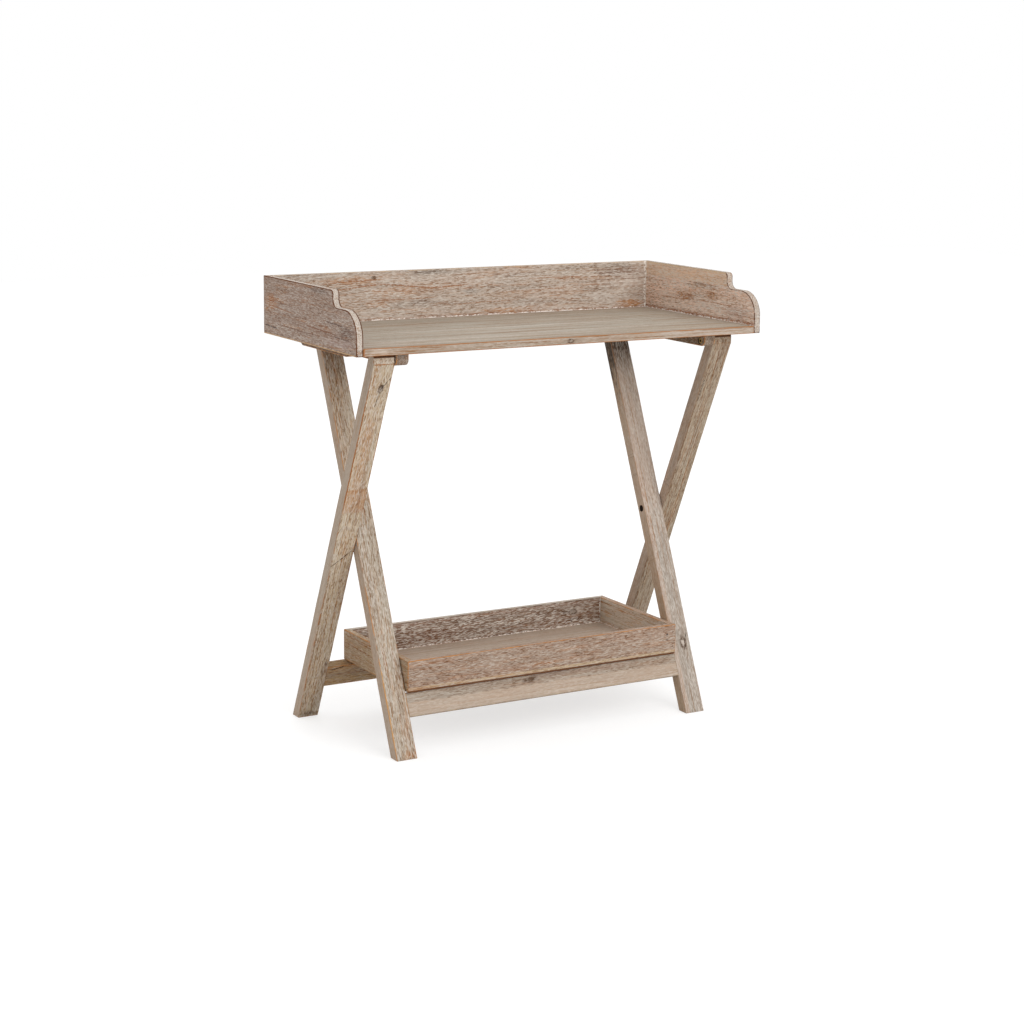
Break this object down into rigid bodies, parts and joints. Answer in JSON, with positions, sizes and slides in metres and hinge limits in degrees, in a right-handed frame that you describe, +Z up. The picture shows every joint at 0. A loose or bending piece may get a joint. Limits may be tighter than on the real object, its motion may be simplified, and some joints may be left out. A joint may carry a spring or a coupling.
{
  "type": "folding console table",
  "caption": "Folding console table in limed wood: crossed legs, gallery top hinged at the front, and a loose lower tray.",
  "frame": {"origin": "on the floor, under the middle of the top", "axes": "+X to the right along the table's width, -Y towards the viewer (the open front of the gallery), +Z up"},
  "size_m": [0.8, 0.36, 0.793],
  "materials": {
    "leg_wood": "brushed and limed, open grain, worn orange edges",
    "gallery_wood": "brushed and limed, darker, streaked",
    "shelf_wood": "smooth, grey-brown, fine lengthwise streaks",
    "tray_wood": "brushed and limed, pinkish",
    "dowel_wood": "plain",
    "brass": "dull, aged",
    "steel": "zinc-plated, dull"
  },
  "bodies": {
    "outer_frame": {"outer_leg_left": "leg_wood", "outer_leg_right": "leg_wood", "back_rail": "leg_wood", "back_rail_dowels": "dowel_wood", "pivot_bolt_left": "brass", "pivot_bolt_right": "brass", "hinge_bolt_left": "brass", "hinge_bolt_right": "brass", "threaded_inserts": "brass", "bolt_washers": "steel", "leg_spacer_washers": "steel"},
    "inner_frame": {"inner_leg_left": "leg_wood", "inner_leg_right": "leg_wood", "front_rail": "leg_wood", "front_rail_dowels": "dowel_wood", "rest_crossbar": "dowel_wood"},
    "top": {"shelf_panel": "shelf_wood", "back_board": "gallery_wood", "left_end_board": "gallery_wood", "right_end_board": "gallery_wood", "front_cleat_left": "leg_wood", "front_cleat_right": "leg_wood", "rear_batten_left": "leg_wood", "rear_batten_right": "leg_wood", "cleat_screws": "steel", "batten_screws": "steel", "end_board_dowels": "dowel_wood", "back_board_screws": "steel"},
    "lower_tray": {"tray_front_board": "tray_wood", "tray_back_board": "tray_wood", "tray_left_board": "tray_wood", "tray_right_board": "tray_wood", "tray_bottom": "tray_wood", "tray_nails": "steel"}
  },
  "joints": [
    {"name": "top_tilt", "type": "hinge", "parent": "outer_frame", "child": "top", "pos_m": [0, -0.14535, 0.6805], "axis": [1, 0, 0], "range_deg": [0, 112]},
    {"name": "frame_fold", "type": "hinge", "parent": "outer_frame", "child": "inner_frame", "pos_m": [0, 0, 0.3525], "axis": [1, 0, 0], "range_deg": [0, 42.5]},
    {"name": "lower_tray_slide", "type": "slide", "parent": "outer_frame", "child": "lower_tray", "axis": [0, -1, 0], "range_m": [0, 0.34]}
  ],
  "couplings": [
    {"joint": "frame_fold", "follows": "top_tilt", "ratio": 0.375}
  ]
}
